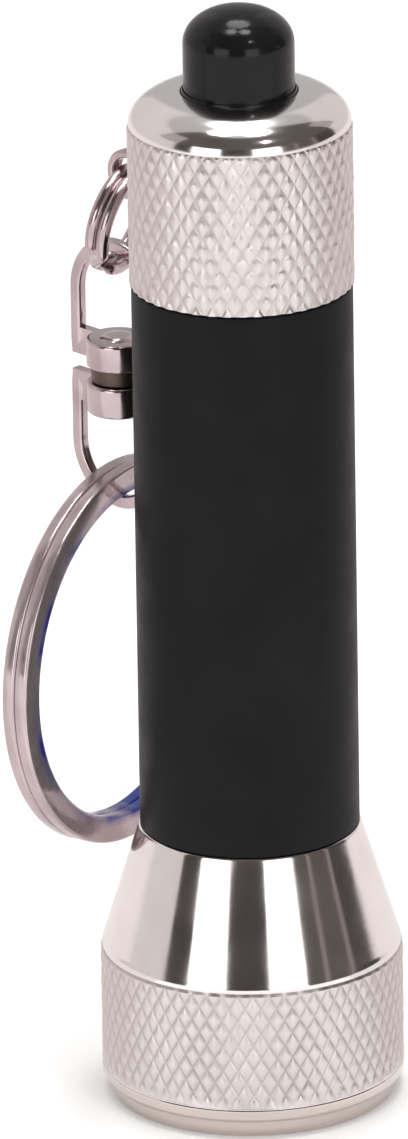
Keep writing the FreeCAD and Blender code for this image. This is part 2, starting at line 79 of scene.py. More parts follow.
# sizes that a box does not give
THREAD_BORE_R = 6.7
THREAD_R = 6.65
THREAD_PITCH = 0.75
THREAD_RIDGES = 3
THREAD_ROOT_HALF = 0.28
THREAD_CREST_HALF = 0.08
NECK_ROOT_R = 6.35
SEAT_R = 6.0
SEAT_GAP = 0.45
SEAT_LENGTH = 0.7
FRONT_SHOULDER = 18.85
REAR_SHOULDER = 56.4
BARREL_BORE_R = 5.65
HEAD_BORE_R = 8.15
HEAD_SHOULDER = 9.0
CAP_ROOF = 67.9
CAP_CAVITY_R = 6.5
CAP_CAVITY_BOTTOM = 60.6
CAP_HOLE_R = 3.95
CAP_LIP_R = 3.81
CAP_LIP_BOTTOM = 69.2
COLLAR_NECK_R = 3.91
COLLAR_LIP_R = 3.79
BUTTON_WALL = 0.8
BUTTON_ROOF = 1.3
BUTTON_DOME = 2.4
BOOT_GAP = 0.05
LUG_R = 1.7
LUG_HOLE_R = 1.13
LUG_THICKNESS = 1.0
LUG_STEM_R = 0.75
SMALL_RING_R = 3.35
SMALL_WIRE_R = 0.45
SMALL_RING_TURN = 15
SMALL_RING_TILT = 12
KEY_RING_INNER_R = 11.2
KEY_RING_WIDTH = 1.81
KEY_COIL_THICKNESS = 0.94
KEY_RING_TURN = 11.3
YOKE_BAR = 0.9
YOKE_STRAP = 0.75
YOKE_BORE_R = 0.76
DRUM_R = 2.1
UPPER_DRUM = (47.9, 49.8)
LOWER_DRUM = (44.7, 46.8)
RIVET_R = 0.7
RIVET_HEAD_R = 1.2
RIVET_HEAD = 0.3
KNURL_ROW = 1.75
HEAD_KNURL_COUNT = 60
CAP_KNURL_COUNT = 44


# ------------------------------------------------------------------ mesh helpers
def finish_mesh(name, bm, *materials, sharp=35):
    """Makes an object from a bmesh in millimetres, shaded smooth with sharp edges kept."""
    bmesh.ops.recalc_face_normals(bm, faces=bm.faces)
    bmesh.ops.scale(bm, vec=(MM, MM, MM), verts=bm.verts)
    mesh = bpy.data.meshes.new(name)
    bm.to_mesh(mesh)
    bm.free()
    mesh.shade_smooth()
    mesh.set_sharp_from_angle(angle=math.radians(sharp))
    piece = bpy.data.objects.new(name, mesh)
    bpy.context.scene.collection.objects.link(piece)
    for material in materials:
        mesh.materials.append(material)
    return piece


def rounded(outline, size, steps=3):
    """The (radius, height) outline with each sharp corner turned into a small arc."""
    points = [Vector(p) for p in outline]
    out = []
    for i, point in enumerate(points):
        before = points[i - 1]
        after = points[(i + 1) % len(points)]
        to_before = before - point
        to_after = after - point
        on_axis = point.x < 1e-6
        if on_axis or to_before.angle(to_after) > math.radians(150):
            out.append(tuple(point))
            continue
        reach = min(size, 0.4 * to_before.length, 0.4 * to_after.length)
        start = point + to_before.normalized() * reach
        end = point + to_after.normalized() * reach
        for k in range(steps + 1):
            t = k / steps
            out.append(tuple((1 - t) ** 2 * start + 2 * t * (1 - t) * point + t * t * end))
    return out


def lathe(outline, segments=128):
    """A closed surface of revolution about Z from its (radius, height) outline."""
    bm = bmesh.new()
    rings = []
    for r, z in outline:
        if r < 1e-6:
            rings.append([bm.verts.new((0, 0, z))])
            continue
        ring = []
        for i in range(segments):
            turn = TAU * i / segments
            ring.append(bm.verts.new((r * math.cos(turn), r * math.sin(turn), z)))
        rings.append(ring)
    for a, b in zip(rings, rings[1:] + rings[:1]):
        join_rings(bm, a, b)
    return bm


def join_rings(bm, a, b):
    """Faces between two rings of vertices, either of which may be a single point on the axis."""
    if len(a) == 1 and len(b) == 1:
        return
    count = max(len(a), len(b))
    for i in range(count):
        k = (i + 1) % count
        if len(a) == 1:
            bm.faces.new((a[0], b[i], b[k]))
        elif len(b) == 1:
            bm.faces.new((a[i], b[0], a[k]))
        else:
            bm.faces.new((a[i], b[i], b[k], a[k]))


def shift(bm, x=0.0, y=0.0, z=0.0):
    bmesh.ops.translate(bm, vec=(x, y, z), verts=bm.verts)
    return bm


def turn_mesh(bm, degrees, axis):
    """Turns a bmesh about an axis through the origin."""
    turned = Matrix.Rotation(math.radians(degrees), 3, axis)
    bmesh.ops.rotate(bm, cent=(0, 0, 0), matrix=turned, verts=bm.verts)


def sweep(path, section, frame_at):
    """A tube through the path's points. The section is (across, along) pairs, and frame_at(i)
    gives the two directions that they lie in. The last few sections shrink for rounded ends."""
    bm = bmesh.new()
    rings = []
    count = len(path)
    for i, point in enumerate(path):
        across, along = frame_at(i)
        from_end = min(i, count - 1 - i)
        size = (0.72, 0.92)[from_end] if from_end < 2 else 1.0
        ring = []
        for u, v in section:
            ring.append(bm.verts.new(point + across * (u * size) + along * (v * size)))
        rings.append(ring)
    for a, b in zip(rings, rings[1:]):
        join_rings(bm, a, b)
    bm.faces.new(rings[0])
    bm.faces.new(rings[-1][::-1])
    return bm


def rounded_rectangle(width, height, corner, steps=4):
    section = []
    for quarter in range(4):
        sx = (1, -1, -1, 1)[quarter]
        sy = (1, 1, -1, -1)[quarter]
        for k in range(steps + 1):
            turn = math.pi / 2 * (quarter + k / steps)
            section.append(
                (
                    sx * (width / 2 - corner) + corner * math.cos(turn),
                    sy * (height / 2 - corner) + corner * math.sin(turn),
                )
            )
    return section


def circle(r, steps=16):
    return [(r * math.cos(TAU * k / steps), r * math.sin(TAU * k / steps)) for k in range(steps)]


def fuse(bodies):
    """The union of several closed bmeshes in millimetres, as one bmesh."""
    objects = []
    for i, bm in enumerate(bodies):
        bmesh.ops.recalc_face_normals(bm, faces=bm.faces)
        mesh = bpy.data.meshes.new(f"fuse_{i}")
        bm.to_mesh(mesh)
        bm.free()
        part = bpy.data.objects.new(f"fuse_{i}", mesh)
        bpy.context.scene.collection.objects.link(part)
        objects.append(part)
    base = objects[0]
    for other in objects[1:]:
        union = base.modifiers.new("union", "BOOLEAN")
        union.operation = "UNION"
        union.solver = "EXACT"
        union.object = other
    depsgraph = bpy.context.evaluated_depsgraph_get()
    bm = bmesh.new()
    bm.from_mesh(base.evaluated_get(depsgraph).to_mesh())
    for part in objects:
        mesh = part.data
        bpy.data.objects.remove(part)
        bpy.data.meshes.remove(mesh)
    return bm


# ------------------------------------------------------------------ knurling
FACETS = 6


def triangle(x):
    """0 on whole numbers, 1 half way between them."""
    return 1 - 2 * abs(x - math.floor(x) - 0.5)


def knurl_height(i, j, around, seed):
    """0 in the grooves to about 1 on the diamonds, for column i and row j of the facet grid."""
    u = (i + j) / FACETS
    w = (i - j) / FACETS
    a = math.floor(u)
    b = math.floor(w)
    pick = Vector(((a - b) * 1.0, (a + b) % (2 * around) * 1.0, seed))
    top = 1 - 0.3 * noise.cell(pick * 1.37)
    return min(top, 1.9 * min(triangle(u), triangle(w)))


def knurled(outline, band, around, depth, row_height, seed, fade=(0.0, 0.0)):
    """A lathe whose outer band, between two heights, is cut with diamonds leaning both ways.
    The cuts run out over the fade lengths at the band's bottom and top."""
    columns = around * FACETS
    outer_r = max(r for r, z in outline)
    rows = []
    for (r1, z1), (r2, z2) in zip(outline, outline[1:] + outline[:1]):
        rows.append((r1, z1))
        outside = min(r1, r2) > outer_r - 1.5 * depth
        in_band = band[0] - 0.01 <= min(z1, z2) and max(z1, z2) <= band[1] + 0.01
        if outside and in_band and abs(z2 - z1) > row_height:
            steps = round(abs(z2 - z1) / row_height)
            for k in range(1, steps):
                rows.append((r1 + (r2 - r1) * k / steps, z1 + (z2 - z1) * k / steps))
    bm = bmesh.new()
    grid = []
    for r, z in rows:
        j = (z - band[0]) / row_height
        cut = r > outer_r - 1.5 * depth and band[0] - 0.01 <= z <= band[1] + 0.01
        run_out = 1.0
        for gap, length in zip((z - band[0], band[1] - z), fade):
            if length:
                run_out = min(run_out, max(gap / length, 0.0))
        ring = []
        for i in range(columns):
            turn = TAU * i / columns
            radius = r
            if cut:
                height = knurl_height(i, j, around, seed)
                radius = min(r, outer_r - depth * run_out * (1 - height))
            ring.append(bm.verts.new((radius * math.cos(turn), radius * math.sin(turn), z)))
        grid.append((ring, j, cut))
    for (a, j, cut_a), (b, j_b, cut_b) in zip(grid, grid[1:] + grid[:1]):
        if not (cut_a and cut_b):
            join_rings(bm, a, b)
            continue
        low = round(min(j, j_b))
        for i in range(columns):
            k = (i + 1) % columns
            near_w = (i - low) % FACETS == 0
            near_u = (i + low + 1) % FACETS == 0
            steeper_u = triangle((i + low + 1) / FACETS) < triangle((i - low) / FACETS)
            rising = near_w or not (near_u or steeper_u)
            if j_b < j:
                rising = not rising
            if rising:
                faces = [(a[i], a[k], b[k]), (a[i], b[k], b[i])]
            else:
                faces = [(a[i], a[k], b[i]), (a[k], b[k], b[i])]
            for face in faces:
                bm.faces.new(face).material_index = 1
    return bm


# ------------------------------------------------------------------ material helpers
class Shader:
    """A node material with a Principled shader and a few helpers for procedural detail."""

    def __init__(self, name, **values):
        self.material = bpy.data.materials.new(name)
        self.material.use_nodes = True
        self.tree = self.material.node_tree
        self.bsdf = self.tree.nodes["Principled BSDF"]
        self.coords = self.node("ShaderNodeTexCoord").outputs["Object"]
        for key, value in values.items():
            self.bsdf.inputs[key.replace("_", " ")].default_value = value

    def node(self, kind, **values):
        made = self.tree.nodes.new(kind)
        for key, value in values.items():
            if hasattr(made, key):
                setattr(made, key, value)
            else:
                made.inputs[key.replace("_", " ")].default_value = value
        return made

    def link(self, output, target):
        self.tree.links.new(output, target)

    def math(self, operation, a, b=None):
        made = self.node("ShaderNodeMath", operation=operation)
        for slot, value in zip(made.inputs, (a, b)):
            if isinstance(value, (int, float)):
                slot.default_value = value
            elif value is not None:
                self.link(value, slot)
        return made.outputs[0]

    def stretched(self, x, y, z):
        """Object coordinates scaled along each axis."""
        made = self.node("ShaderNodeMapping")
        made.inputs["Scale"].default_value = (x, y, z)
        self.link(self.coords, made.inputs["Vector"])
        return made.outputs["Vector"]

    def axes(self):
        """The object coordinates as three separate outputs."""
        parts = self.node("ShaderNodeSeparateXYZ")
        self.link(self.coords, parts.inputs[0])
        return parts.outputs[:3]

    def length(self, a, b):
        a2 = self.math("MULTIPLY", a, a)
        b2 = self.math("MULTIPLY", b, b)
        return self.math("SQRT", self.math("ADD", a2, b2))

    def radius(self):
        """The distance from the Z axis."""
        x, y, z = self.axes()
        return self.length(x, y)

    def lathe_coords(self):
        """Coordinates that change only with the distance from the axis and the height."""
        x, y, z = self.axes()
        joined = self.node("ShaderNodeCombineXYZ")
        self.link(self.length(x, y), joined.inputs[0])
        self.link(z, joined.inputs[2])
        return joined.outputs[0]

    def between(self, value, start, end, low=0.0, high=1.0):
        """A value mapped from the range start to end onto the range low to high."""
        made = self.node("ShaderNodeMapRange")
        made.inputs["From Min"].default_value = start
        made.inputs["From Max"].default_value = end
        made.inputs["To Min"].default_value = low
        made.inputs["To Max"].default_value = high
        self.link(value, made.inputs["Value"])
        return made.outputs[0]

    def mix(self, factor, first, second):
        """A blend of two colours, each a constant or a socket."""
        made = self.node("ShaderNodeMix", data_type="RGBA")
        self.link(factor, made.inputs["Factor"])
        for slot, value in ((made.inputs[6], first), (made.inputs[7], second)):
            if isinstance(value, tuple):
                slot.default_value = (*value, 1)
            else:
                self.link(value, slot)
        return made.outputs[2]

    def noise(self, scale, detail=3.0, vector=None):
        made = self.node("ShaderNodeTexNoise", Scale=scale, Detail=detail)
        self.link(vector or self.coords, made.inputs["Vector"])
        return made.outputs["Fac"]

    def ramp(self, value, stops):
        """A colour ramp from (position, colour) stops. A single number makes a grey."""
        made = self.node("ShaderNodeValToRGB")
        ramp = made.color_ramp
        while len(ramp.elements) < len(stops):
            ramp.elements.new(0.5)
        for element, (position, colour) in zip(ramp.elements, stops):
            element.position = position
            grey = isinstance(colour, (int, float))
            element.color = (colour,) * 3 + (1,) if grey else (*colour, 1)
        self.link(value, made.inputs[0])
        return made.outputs[0]

    def colour(self, output):
        self.link(output, self.bsdf.inputs["Base Color"])

    def rough(self, value, low, high):
        roughness = self.between(value, 0.3, 0.7, low, high)
        self.link(roughness, self.bsdf.inputs["Roughness"])

    def bump(self, *layers):
        """Bump from (height, depth in metres) layers."""
        normal = None
        for height, depth in layers:
            made = self.node("ShaderNodeBump", Strength=1.0, Distance=depth)
            self.link(height, made.inputs["Height"])
            if normal is not None:
                self.link(normal, made.inputs["Normal"])
            normal = made.outputs[0]
        self.link(normal, self.bsdf.inputs["Normal"])


def polished_aluminium(name, low, high):
    """Turned aluminium of a given range of roughness, with painted shade on the head's foot: duller
    and browner there, standing in for the darker reflections near the floor.
    """
    s = Shader(name, Metallic=1.0)
    marks = s.noise(9000, 4, s.lathe_coords())
    smudge = s.noise(260, 4)
    body_tone = s.ramp(smudge, [(0.3, (0.80, 0.755, 0.74)), (0.7, (0.86, 0.82, 0.805))])
    # Painted shade: below about 2 mm the head's foot takes a duller, browner colour in place of its
    # darker reflections near the floor.
    above_painted_foot_shade = s.between(s.axes()[2], 1.9 * MM, 2.2 * MM)
    s.colour(s.mix(above_painted_foot_shade, (0.66, 0.58, 0.54), body_tone))
    s.rough(smudge, low, high)
    s.bump((marks, 0.0000012), (s.noise(1400), 0.0000015))
    return s.material


def knurled_aluminium(name, outer_r, depth):
    s = Shader(name, Metallic=1.0)
    height = s.between(s.radius(), (outer_r - depth) * MM, outer_r * MM)
    # Painted shade and highlight: the grooves are coloured darker and the diamond tops lighter, by
    # distance from the axis.
    groove_painted_shade = (0.54, 0.485, 0.465)
    flank = (0.64, 0.585, 0.57)
    peak_painted_highlight = (0.69, 0.645, 0.63)
    s.colour(s.ramp(height, [(0.0, groove_painted_shade), (0.5, flank), (1.0, peak_painted_highlight)]))
    s.rough(s.noise(1500, 3), 0.28, 0.46)
    s.bump((s.noise(5000, 3), 0.000008), (s.noise(1200, 2), 0.00002))
    return s.material


def black_anodised():
    s = Shader("black_anodised", Metallic=0.0, Specular_IOR_Level=0.07)
    cloud = s.noise(180, 4)
    s.colour(s.ramp(cloud, [(0.3, 0.0095), (0.7, 0.013)]))
    s.rough(s.noise(420, 5), 0.38, 0.48)
    s.bump((s.noise(9000, 2, s.stretched(1, 1, 0.08)), 0.0000015), (s.noise(2500), 0.000001))
    return s.material


def rubber(name, specks):
    s = Shader(name, Metallic=0.0, Specular_IOR_Level=0.2)
    base = s.ramp(s.noise(300, 4), [(0.3, 0.006), (0.7, 0.011)])
    if specks:
        dots = s.node("ShaderNodeTexVoronoi", Scale=900.0)
        s.link(s.coords, dots.inputs["Vector"])
        dust = s.ramp(dots.outputs["Distance"], [(0.0, 1.0), (0.13, 0.0)])
        patch = s.ramp(s.noise(700, 2), [(0.52, 0.0), (0.62, 1.0)])
        mask = s.math("MULTIPLY", s.math("MULTIPLY", dust, patch), 0.55)
        base = s.mix(mask, base, (0.42, 0.42, 0.41))
    s.colour(base)
    s.rough(s.noise(800, 3), 0.08, 0.2)
    s.bump((s.noise(2600, 3), 0.000008))
    return s.material


def bright_nickel(name, painted_blue_reflection=None):
    """Mauve-tinted plate. A ring's centre height and inner radius put a painted blue reflection on
    its inner face.
    """
    s = Shader(name, Metallic=1.0)
    cloud = s.noise(350, 4)
    plate = s.ramp(cloud, [(0.3, (0.46, 0.37, 0.385)), (0.7, (0.62, 0.52, 0.53))])
    if painted_blue_reflection:
        middle, radius = painted_blue_reflection
        # Painted reflection: blue in patches on the ring's inner face, which is made less metallic
        # there.
        x, y, z = s.axes()
        away = s.length(y, s.math("SUBTRACT", z, middle * MM))
        inner = s.between(away, (radius + 0.7) * MM, (radius + 0.1) * MM)
        patch = s.ramp(s.noise(220, 3), [(0.42, 0.2), (0.56, 1.0)])
        mask = s.math("MULTIPLY", inner, patch)
        plate = s.mix(mask, plate, (0.03, 0.05, 0.30))
        metallic = s.math("SUBTRACT", 0.72, s.math("MULTIPLY", mask, 0.4))
        s.link(metallic, s.bsdf.inputs["Metallic"])
    s.colour(plate)
    s.rough(s.noise(900, 4), 0.10, 0.24)
    s.bump((s.noise(1800, 3), 0.000006), (s.noise(350, 2), 0.00003))
    return s.material


def simple(name, low, high, roughness, scale=600, bump=0.000004, **values):
    """A material whose colour, gloss and surface vary a little over its surface."""
    s = Shader(name, **values)
    s.colour(s.ramp(s.noise(scale, 4), [(0.3, low), (0.7, high)]))
    s.rough(s.noise(scale * 1.7, 3), roughness * 0.8, roughness * 1.25)
    s.bump((s.noise(scale * 3, 3), bump))
    return s.material


ALUMINIUM = polished_aluminium("polished_aluminium", 0.07, 0.15)
CAP_ALUMINIUM = polished_aluminium("cap_aluminium", 0.11, 0.17)
HEAD_KNURL_DEPTH = 0.11
CAP_KNURL_DEPTH = 0.13
HEAD_KNURL = knurled_aluminium("head_knurl", RIM_R, HEAD_KNURL_DEPTH)
CAP_KNURL = knurled_aluminium("cap_knurl", CAP_R, CAP_KNURL_DEPTH)
BLACK = black_anodised()
BUTTON_RUBBER = rubber("button_rubber", specks=True)
SEAL_RUBBER = rubber("seal_rubber", specks=False)
NICKEL = bright_nickel("bright_nickel")
KEY_RING_Z = (KEY_LOW.z + KEY_HIGH.z) / 2
KEY_RING_NICKEL = bright_nickel("key_ring_nickel", (KEY_RING_Z, KEY_RING_INNER_R))
BRASS = simple("brass", (0.66, 0.47, 0.19), (0.80, 0.60, 0.28), 0.25, Metallic=1.0)
# Painted shade: the swivel washer is coloured a dark brown to stand for the shade in the gap
# between the drums.
WASHER_PAINTED_SHADE = simple("washer", (0.09, 0.06, 0.055), (0.14, 0.10, 0.09), 0.4, Metallic=1.0)
STEEL = simple("steel", (0.55, 0.55, 0.55), (0.66, 0.66, 0.65), 0.25, Metallic=1.0)
MIRROR = simple(
    "reflector_mirror", (0.88, 0.88, 0.89), (0.93, 0.93, 0.94), 0.06, 300, 0.000002, Metallic=1.0
)
BLACK_PLASTIC = simple("black_plastic", 0.018, 0.03, 0.45)
WHITE_PLASTIC = simple("white_plastic", 0.72, 0.8, 0.4)
BOARD = simple("circuit_board", (0.012, 0.10, 0.03), (0.02, 0.15, 0.05), 0.35, 900)
FERRITE = simple("ferrite", 0.035, 0.06, 0.6)
CERAMIC = simple("ceramic", (0.42, 0.28, 0.16), (0.52, 0.36, 0.22), 0.4)
WRAP = simple("battery_wrap", (0.02, 0.035, 0.12), (0.03, 0.05, 0.16), 0.3)
LENS = simple(
    "clear_lens", 0.96, 1.0, 0.04, 200, 0.000001, Transmission_Weight=1.0, IOR=1.49
)
EPOXY = simple(
    "lamp_epoxy",
    (0.95, 0.96, 0.92),
    (1.0, 1.0, 0.97),
    0.05,
    300,
    0.000001,
    Transmission_Weight=0.9,
    IOR=1.5,
)


def place(piece, body, slot, *nodes):
    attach(piece, body)
    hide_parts(*nodes)
    return piece


# ------------------------------------------------------------------ head, barrel and cap
def head():
    """Tapered foot, knurled band, rounded chamfer and cone, with the bore inside."""
    band_low = 2.2
    band_high = 10.3
    outline = [(HEAD_BORE_R, HEAD_LOW.z)]
    outline += [(9.12, HEAD_LOW.z), (9.34, 0.07), (9.45, 0.2), (9.48, 0.35)]
    outline += [(9.72, 1.12), (9.8, 1.25), (9.96, 1.42), (RIM_R, 1.52), (RIM_R, 2.02)]
    outline += [(RIM_R - 0.06, 2.08), (RIM_R - 0.06, 2.14), (RIM_R, band_low)]
    outline += [(RIM_R, 10.1), (RIM_R - 0.12, band_high), (9.9, 10.42), (9.88, 10.58), (9.84, 10.7)]
    outline += [(9.79, 10.82), (9.75, 10.95), (7.367, HEAD_HIGH.z - 0.2)]
    outline += [(7.33, HEAD_HIGH.z - 0.08), (7.29, HEAD_HIGH.z - 0.02)]
    outline += [(7.25, HEAD_HIGH.z), (THREAD_BORE_R, HEAD_HIGH.z)]
    outline += [(THREAD_BORE_R, HEAD_SHOULDER), (HEAD_BORE_R, HEAD_SHOULDER)]
    row = KNURL_ROW / FACETS
    band = (band_low, band_high)
    bm = knurled(outline, band, HEAD_KNURL_COUNT, HEAD_KNURL_DEPTH, row, 3.0, (0.5, 0.3))
    shell = finish_mesh("head_shell_turned", bm, ALUMINIUM, HEAD_KNURL, sharp=22)
    place(shell, "head", "bare_aluminium", "head_shell")


def cap():
    """Knurled skirt, bright chamfer and rounded shoulder, with the switch cavity inside."""
    band_high = 67.45
    shoulder_z = 67.5
    shoulder_r = 7.3
    crown_r = 4.15
    outline = [(THREAD_BORE_R, CAP_LOW.z), (CAP_R - 0.2, CAP_LOW.z), (CAP_R, CAP_LOW.z + 0.12)]
    outline += [(CAP_R, 67.3), (CAP_R - 0.12, band_high), (shoulder_r, shoulder_z)]
    steps = 14
    for k in range(1, steps + 1):
        turn = math.pi / 2 * k / steps
        r = crown_r + (shoulder_r - crown_r) * math.cos(turn) ** 1.1
        outline.append((r, shoulder_z + (CAP_HIGH.z - shoulder_z) * math.sin(turn)))
    outline += [(CAP_LIP_R + 0.08, CAP_HIGH.z - 0.02), (CAP_LIP_R, CAP_HIGH.z - 0.1)]
    outline += [(CAP_LIP_R, CAP_LIP_BOTTOM), (CAP_HOLE_R, CAP_LIP_BOTTOM - 0.1)]
    outline += [(CAP_HOLE_R, CAP_ROOF), (CAP_CAVITY_R, CAP_ROOF)]
    outline += [(CAP_CAVITY_R, CAP_CAVITY_BOTTOM), (THREAD_BORE_R, CAP_CAVITY_BOTTOM)]
    row = KNURL_ROW / FACETS
    bm = knurled(outline, (CAP_LOW.z, band_high), CAP_KNURL_COUNT, CAP_KNURL_DEPTH, row, 8.0)
    shell = finish_mesh("tail_cap_turned", bm, CAP_ALUMINIUM, CAP_KNURL, sharp=22)
    place(shell, "cap", "bare_aluminium", "tail_cap")


def neck(shoulder, end):
    """A threaded neck's outline, from the barrel's shoulder to the neck's end."""
    way = 1 if end > shoulder else -1
    seat = shoulder + way * SEAT_GAP
    points = [(BARREL_R, shoulder), (NECK_ROOT_R, shoulder), (NECK_ROOT_R, seat), (SEAT_R, seat)]
    points += [(SEAT_R, seat + way * SEAT_LENGTH), (NECK_ROOT_R, seat + way * SEAT_LENGTH)]
    root = way * THREAD_ROOT_HALF
    crest = way * THREAD_CREST_HALF
    for k in range(THREAD_RIDGES):
        middle = seat + way * (SEAT_LENGTH + SEAT_GAP + k * THREAD_PITCH)
        points += [(NECK_ROOT_R, middle - root), (THREAD_R, middle - crest)]
        points += [(THREAD_R, middle + crest), (NECK_ROOT_R, middle + root)]
    return points + [(NECK_ROOT_R, end)]


def barrel():
    rear = neck(REAR_SHOULDER, BARREL_HIGH.z)
    front = neck(FRONT_SHOULDER, BARREL_LOW.z)
    bore = [(BARREL_BORE_R, BARREL_HIGH.z), (BARREL_BORE_R, BARREL_LOW.z)]
    outline = rear + bore + front[::-1]
    bm = lathe(rounded(outline, 0.12), 160)
    place(finish_mesh("barrel_tube_turned", bm, BLACK), "barrel", "black_anodised", "barrel_tube")
    for name, (low, high) in O_RINGS.items():
        wire_r = (high.z - low.z) / 2
        centre_r = high.x - wire_r
        outline = [(centre_r + u, (low.z + high.z) / 2 + v) for u, v in circle(wire_r, 12)]
        ring = finish_mesh(name + "_seal", lathe(outline, 96), SEAL_RUBBER)
        place(ring, "barrel", "black_rubber", name)


def button():
    """The rubber button's straight side and domed crown, and the bead round its foot."""
    low = BUTTON_LOW.z
    top = BUTTON_HIGH.z
    side_top = top - BUTTON_DOME
    inner_r = BUTTON_R - BUTTON_WALL
    outline = [(inner_r, low), (BUTTON_R, low), (BUTTON_R, side_top)]
    steps = 14
    for k in range(1, steps):
        turn = math.pi / 2 * k / steps
        height = side_top + (top - side_top) * math.sin(turn)
        outline.append((BUTTON_R * math.cos(turn) ** 0.92, height))
    outline += [(0, top), (0, top - BUTTON_ROOF), (inner_r, top - BUTTON_ROOF)]
    bm = lathe(outline, 128)
    boot = finish_mesh("button_rubber_boot", bm, BUTTON_RUBBER)
    place(boot, "button", "black_rubber", "button_boot")

    bore = BUTTON_R + BOOT_GAP
    outline = [(bore, COLLAR_LOW.z), (COLLAR_HIGH.x, COLLAR_LOW.z), (COLLAR_HIGH.x, CAP_ROOF)]
    outline += [(COLLAR_NECK_R, CAP_ROOF), (COLLAR_NECK_R, CAP_LIP_BOTTOM - 0.2)]
    outline += [(COLLAR_LIP_R, CAP_LIP_BOTTOM - 0.1), (COLLAR_LIP_R, CAP_HIGH.z + 0.04)]
    outline += [(bore + 0.03, COLLAR_HIGH.z), (bore, COLLAR_HIGH.z)]
    bm = lathe(rounded(outline, 0.1), 128)
    place(finish_mesh("boot_bead", bm, BUTTON_RUBBER), "cap", "black_rubber", "boot_collar")


# ------------------------------------------------------------------ key chain
def lug():
    """The eye's rounded ring and its stem."""
    eye_x = LUG_LOW.x + LUG_R
    eye_z = (LUG_LOW.z + LUG_HIGH.z) / 2
    rim = (LUG_R - LUG_HOLE_R) / 2
    section = rounded_rectangle(2 * rim, LUG_THICKNESS, 0.2)
    eye = lathe([(LUG_HOLE_R + rim + u, v) for u, v in section], 48)
    turn_mesh(eye, 90, "X")
    shift(eye, eye_x, 0, eye_z)
    start = 1.3
    reach = LUG_HIGH.x - eye_x - start
    stem = lathe([(0, 0), (LUG_STEM_R, 0), (LUG_STEM_R, reach), (0, reach)], 32)
    turn_mesh(stem, 90, "Y")
    shift(stem, eye_x + start, 0, eye_z)
    place(finish_mesh("key_lug_eye", fuse([eye, stem]), NICKEL), "cap", "nickel_plate", "key_lug")


def coil(mean_r, section, layer, first, jog, gap):
    """Two turns of wire about X, one layer on each side, with one jog between the layers.
    first, jog and gap are angles in radians, from +Z."""
    path = []
    turns = []
    span = 2 * TAU - jog - 2 * gap
    steps = 220
    for k in range(steps + 1):
        t = span * k / steps
        step = min(max((t - (TAU - jog - gap)) / jog, 0), 1)
        offset = layer * (2 * (3 * step**2 - 2 * step**3) - 1) / 2
        turn = first + t
        turns.append(turn)
        path.append(Vector((offset, mean_r * math.sin(turn), mean_r * math.cos(turn))))

    def frame_at(i):
        return Vector((0, math.sin(turns[i]), math.cos(turns[i]))), Vector((1, 0, 0))

    return sweep(path, section, frame_at)


def small_ring():
    lug_x = LUG_LOW.x + LUG_R
    lug_z = (LUG_LOW.z + LUG_HIGH.z) / 2
    wire = circle(SMALL_WIRE_R * 0.97)
    bm = coil(SMALL_RING_R, wire, 0.84, math.radians(250), math.radians(28), math.radians(3))
    turn_mesh(bm, SMALL_RING_TURN, "Z")
    shift(bm, 0, 0, -SMALL_RING_R)
    turn_mesh(bm, SMALL_RING_TILT, "Y")
    shift(bm, lug_x, 0, lug_z)
    ring = finish_mesh("small_ring_coil", bm, NICKEL)
    place(ring, "small_ring", "nickel_plate", "small_split_ring")


def key_ring():
    mean_r = (KEY_HIGH.z - KEY_LOW.z) / 2 - 0.03 - KEY_RING_WIDTH / 2
    section = rounded_rectangle(KEY_RING_WIDTH, KEY_COIL_THICKNESS, 0.2)
    bm = coil(mean_r, section, 0.95, math.radians(75), math.radians(20), math.radians(1.5))
    turn_mesh(bm, KEY_RING_TURN, "Z")
    shift(bm, CHAIN_X, 0, KEY_RING_Z)
    ring = finish_mesh("key_ring_coil", bm, KEY_RING_NICKEL)
    place(ring, "key_ring", "nickel_plate", "key_split_ring")


def yoke(name, low, high, drum, way, body, node):
    """A strap bent to an arch and a chamfered drum across its open end."""
    half = (high.x - low.x) / 2
    apex = high.z if way > 0 else low.z
    base = drum[0] if way > 0 else drum[1]
    centre = apex - way * half
    middle = half - YOKE_BAR / 2
    section = rounded_rectangle(YOKE_BAR, YOKE_STRAP, 0.2)
    path = []
    across = []
    leg_steps = 6
    foot = base + way * 0.02
    for side in (1, -1):
        leg = []
        for k in range(leg_steps):
            z = foot + (centre - foot) * (k / leg_steps) ** 1.5
            leg.append((Vector((side * middle, 0, z)), Vector((side, 0, 0))))
        if side < 0:
            leg.reverse()
            steps = 28
            for k in range(steps + 1):
                turn = math.pi * k / steps
                out = Vector((math.cos(turn), 0, way * math.sin(turn)))
                path.append(Vector((0, 0, centre)) + out * middle)
                across.append(out)
        path += [p for p, a in leg]
        across += [a for p, a in leg]
    strap = sweep(path, section, lambda i: (across[i], Vector((0, 1, 0))))
    shift(strap, CHAIN_X)
    outline = [(YOKE_BORE_R, drum[0]), (DRUM_R, drum[0]), (DRUM_R, drum[1]), (YOKE_BORE_R, drum[1])]
    drum_body = shift(lathe(rounded(outline, 0.2), 96), CHAIN_X)
    bodies = [strap, drum_body]
    tie_start = 1.5
    for side in (-1, 1):
        tie = bmesh.new()
        bmesh.ops.create_cube(tie, size=1)
        depth = drum[1] - drum[0] - 0.04
        reach = half - 0.15 - tie_start
        bmesh.ops.scale(tie, vec=(reach, 0.68, depth), verts=tie.verts)
        shift(tie, CHAIN_X + side * (tie_start + reach / 2), 0, (drum[0] + drum[1]) / 2)
        bodies.append(tie)
    place(finish_mesh(name, fuse(bodies), NICKEL), body, "nickel_plate", node)


